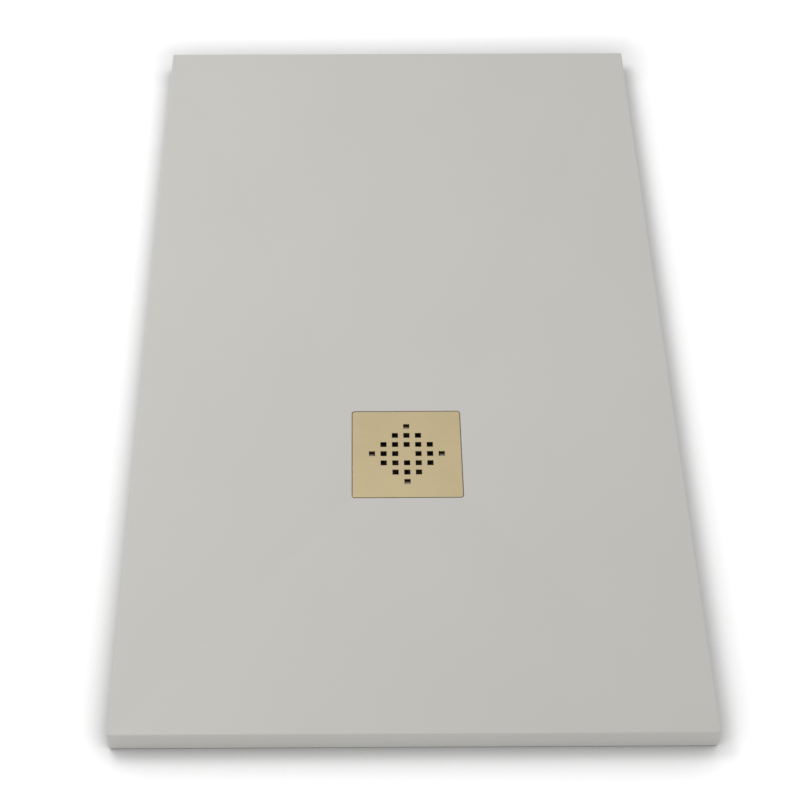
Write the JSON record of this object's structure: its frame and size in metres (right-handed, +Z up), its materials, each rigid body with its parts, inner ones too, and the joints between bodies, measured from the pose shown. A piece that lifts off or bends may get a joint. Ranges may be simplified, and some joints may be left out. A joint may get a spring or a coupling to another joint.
{
  "type": "shower tray with waste",
  "caption": "Low rectangular shower tray whose four facets fall to a square perforated waste grate, with its lift-out odour trap and pipe outlet below.",
  "frame": {"origin": "middle of the tray's underside, in the plane of the bed that carries it", "axes": "+X to the right and +Y to the back of the tray, away from the end near the waste, +Z up"},
  "size_m": [0.7, 1.2, 0.11],
  "materials": {
    "tray_resin": "silk matt",
    "grate_gold": "brushed champagne gold",
    "flange_chrome": "bright plating, slightly dulled",
    "trap_dark": "moulded",
    "trap_white": "moulded",
    "seal_rubber": "matt"
  },
  "bodies": {
    "tray": {"tray_slab": "tray_resin", "waste_flange": "flange_chrome", "flange_seal": "seal_rubber", "body_seal": "seal_rubber", "trap_collar": "trap_white", "trap_bowl": "trap_white", "port_seal": "seal_rubber", "outlet_spigot": "trap_white", "cone_seal": "seal_rubber"},
    "trap_insert": {"dip_tube": "trap_dark", "seal_cup": "trap_dark", "cup_seal": "seal_rubber"},
    "strainer": {"hair_strainer": "trap_dark"},
    "grate": {"grate_plate": "grate_gold", "grate_pad_front_left": "seal_rubber", "grate_pad_front_right": "seal_rubber", "grate_pad_back_left": "seal_rubber", "grate_pad_back_right": "seal_rubber"},
    "slip_ring": {"slip_ring": "trap_white"},
    "outlet_nut": {"outlet_nut": "trap_white"}
  },
  "joints": [
    {"name": "insert_lift", "type": "slide", "parent": "tray", "child": "trap_insert", "axis": [0, 0, 1], "range_m": [0, 0.1]},
    {"name": "strainer_lift", "type": "slide", "parent": "trap_insert", "child": "strainer", "axis": [0, 0, 1], "range_m": [0, 0.05]},
    {"name": "grate_lift", "type": "slide", "parent": "strainer", "child": "grate", "axis": [0, 0, 1], "range_m": [0, 0.08]},
    {"name": "slip_ring_slide", "type": "slide", "parent": "tray", "child": "slip_ring", "axis": [0, 1, 0], "range_m": [0, 0.0093]},
    {"name": "nut_turn", "type": "hinge", "parent": "slip_ring", "child": "outlet_nut", "pos_m": [0, -0.0775, -0.048], "axis": [0, 1, 0], "range_deg": [0, 1440]}
  ],
  "couplings": [
    {"joint": "slip_ring_slide", "follows": "nut_turn", "m_per_rad": 0.0003675}
  ]
}
